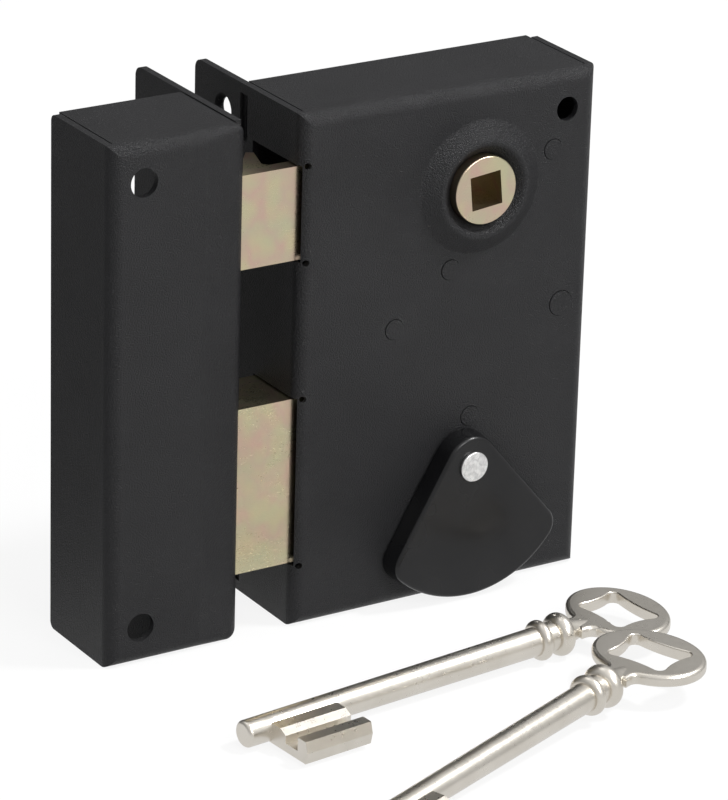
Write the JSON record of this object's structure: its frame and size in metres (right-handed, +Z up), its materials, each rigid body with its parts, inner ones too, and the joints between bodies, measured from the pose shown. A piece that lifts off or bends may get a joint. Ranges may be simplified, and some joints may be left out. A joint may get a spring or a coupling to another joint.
{
  "type": "rim box lock",
  "caption": "Surface-mounted rim lock with bevelled latch bolt, lever dead bolt, swinging key cover, box strike and two keys.",
  "frame": {"origin": "the spindle axis, in the plane where the lock's back plate meets the door", "axes": "+Y into the door, away from the viewer of the case front; +X along the case front away from the forend, so the bolts are thrown toward -X; +Z up"},
  "size_m": [0.1127, 0.1442, 0.11],
  "materials": {
    "black_coat": "fine-textured black powder coat on folded steel sheet",
    "zinc_steel": "bright zinc plate on turned or stamped steel",
    "yellow_zinc": "yellow-passivated zinc with a faint iridescence",
    "spring_steel": "oiled spring steel",
    "rivet_zinc": "polished bright plated rivet head",
    "nickel": "bright nickel plate over cast steel"
  },
  "bodies": {
    "case": {"case_shell": "black_coat", "back_plate": "black_coat", "screw_pillar": "zinc_steel", "lever_pillar": "zinc_steel", "spring_post": "zinc_steel", "guide_stud": "zinc_steel", "slot_stud": "zinc_steel", "back_plate_screws": "zinc_steel", "lever_spacers": "zinc_steel", "follower_spring": "spring_steel", "latch_spring": "spring_steel", "cover_rivet": "rivet_zinc", "cover_washer": "zinc_steel", "strike_box": "black_coat", "key_1": "nickel", "key_2": "nickel"},
    "latch": {"latch_bolt": "yellow_zinc"},
    "follower": {"follower": "yellow_zinc"},
    "dead_bolt": {"dead_bolt": "yellow_zinc", "bolt_stump": "zinc_steel"},
    "lever_1": {"lever_1": "zinc_steel", "lever_1_spring": "spring_steel"},
    "lever_2": {"lever_2": "zinc_steel", "lever_2_spring": "spring_steel"},
    "cover": {"key_cover": "black_coat"}
  },
  "joints": [
    {"name": "follower_turn", "type": "hinge", "parent": "case", "child": "follower", "pos_m": [0, 0, 0], "axis": [0, 1, 0], "range_deg": [0, 44], "deforming": ["follower_spring"]},
    {"name": "latch_slide", "type": "slide", "parent": "case", "child": "latch", "axis": [1, 0, 0], "range_m": [0, 0.012], "stiffness_N_per_m": 350, "springref_m": -0.0115, "deforming": ["latch_spring"]},
    {"name": "deadbolt_slide", "type": "slide", "parent": "case", "child": "dead_bolt", "axis": [1, 0, 0], "range_m": [0, 0.014]},
    {"name": "lever_1_lift", "type": "hinge", "parent": "case", "child": "lever_1", "pos_m": [0.0212, 0, -0.0288], "axis": [0, 1, 0], "range_deg": [0, 9.2], "deforming": ["lever_1_spring"]},
    {"name": "lever_2_lift", "type": "hinge", "parent": "case", "child": "lever_2", "pos_m": [0.0212, 0, -0.0288], "axis": [0, 1, 0], "range_deg": [0, 9.2], "deforming": ["lever_2_spring"]},
    {"name": "key_cover_swing", "type": "hinge", "parent": "case", "child": "cover", "pos_m": [-0.0024, -0.0268, -0.0586], "axis": [0, 1, 0], "continuous": true}
  ],
  "couplings": [
    {"joint": "follower_turn", "follows": "latch_slide", "rad_per_m": 63.99},
    {"joint": "lever_1_lift", "follows": "deadbolt_slide", "rad_per_m": 11.22},
    {"joint": "lever_2_lift", "follows": "deadbolt_slide", "rad_per_m": 11.22}
  ]
}
